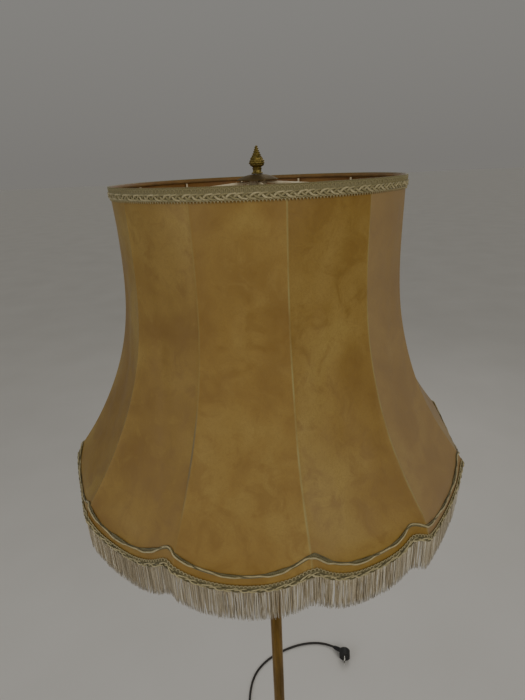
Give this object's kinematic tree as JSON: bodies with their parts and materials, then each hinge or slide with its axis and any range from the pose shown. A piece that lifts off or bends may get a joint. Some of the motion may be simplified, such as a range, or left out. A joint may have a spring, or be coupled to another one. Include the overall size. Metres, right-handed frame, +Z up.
{
  "type": "floor lamp",
  "caption": "Brass standard lamp with a bell-shaped panelled parchment shade, scalloped hem with braid and silk fringe, bud finial, pull switch and mains flex.",
  "frame": {"origin": "middle of the felt pad's underside, on the axis of the pole, where the lamp rests on the floor", "axes": "+Z up along the pole; -Y towards the viewer, the mains flex leaves behind at +Y and its plug lies to +X"},
  "size_m": [0.6054, 0.8042, 1.642],
  "materials": {
    "felt": "matt felt",
    "cast_iron": "raw casting",
    "polished_brass": "polished, slightly aged",
    "pole_brass": "drawn tube, slightly aged",
    "finial_brass": "cast, bright on the high spots",
    "aged_bronze": "dull brown patina",
    "plated_steel": "zinc plated",
    "bakelite": "moulded phenolic",
    "screw_caps": "pressed",
    "opal_glass": "opal white",
    "white_wire": "cream coated wire",
    "parchment": "mottled honey parchment, satin",
    "gimp_braid": "woven cream and olive gimp",
    "silk_fringe": "silky cut threads",
    "black_flex": "satin",
    "black_rubber": "satin moulding",
    "contact_metal": "nickel plated"
  },
  "bodies": {
    "stand": {"felt_pad": "felt", "base_weight": "cast_iron", "base_cover": "polished_brass", "base_nut": "plated_steel", "base_washer": "plated_steel", "pole_foot": "polished_brass", "tie_tube": "plated_steel", "lower_pole": "pole_brass", "middle_pole": "pole_brass", "upper_pole": "pole_brass", "pole_rings": "polished_brass", "inner_lead": "black_flex", "cord_relief": "black_rubber", "cluster_body": "polished_brass", "cluster_nut": "plated_steel", "pull_switch": "bakelite", "socket_arm_left": "pole_brass", "socket_arm_right": "pole_brass", "socket_cups": "polished_brass", "lampholder_left": "bakelite", "lampholder_right": "bakelite", "bulb_caps": "screw_caps", "bulb_glass_left": "opal_glass", "bulb_glass_right": "opal_glass", "stem_tube": "polished_brass", "stem_seat": "polished_brass", "top_nipple": "plated_steel", "hub_nut": "plated_steel", "cap_disc": "aged_bronze", "plug_body": "black_rubber", "plug_pins": "contact_metal", "plug_clips": "contact_metal", "cord_lead": "black_flex", "cord_coil": "black_flex", "cord_run": "black_flex"},
    "shade": {"spider_hub": "white_wire", "spider_arms": "white_wire", "top_ring": "white_wire", "shade_ribs": "white_wire", "hem_wire": "white_wire", "panel_01": "parchment", "panel_02": "parchment", "panel_03": "parchment", "panel_04": "parchment", "panel_05": "parchment", "panel_06": "parchment", "panel_07": "parchment", "panel_08": "parchment", "panel_09": "parchment", "panel_10": "parchment", "panel_11": "parchment", "panel_12": "parchment", "top_braid": "gimp_braid", "hem_cord": "gimp_braid", "hem_braid": "gimp_braid", "fringe": "silk_fringe"},
    "finial": {"finial": "finial_brass"},
    "pull": {"pull_stem": "plated_steel"},
    "chain": {"pull_chain": "polished_brass", "pull_knob": "polished_brass"}
  },
  "joints": [
    {"name": "shade_turn", "type": "hinge", "parent": "stand", "child": "shade", "pos_m": [0, 0, 1.5958], "axis": [0, 0, 1], "continuous": true},
    {"name": "finial_turn", "type": "hinge", "parent": "stand", "child": "finial", "pos_m": [0, 0, 1.61], "axis": [0, 0, 1], "continuous": true},
    {"name": "pull_travel", "type": "slide", "parent": "stand", "child": "pull", "axis": [0, 0, -1], "range_m": [0, 0.01], "stiffness_N_per_m": 200, "springref_m": -0.006},
    {"name": "chain_swing", "type": "hinge", "parent": "pull", "child": "chain", "pos_m": [-0.009, -0.033, 1.2205], "axis": [0, 1, 0], "range_deg": [-20, 20]}
  ]
}
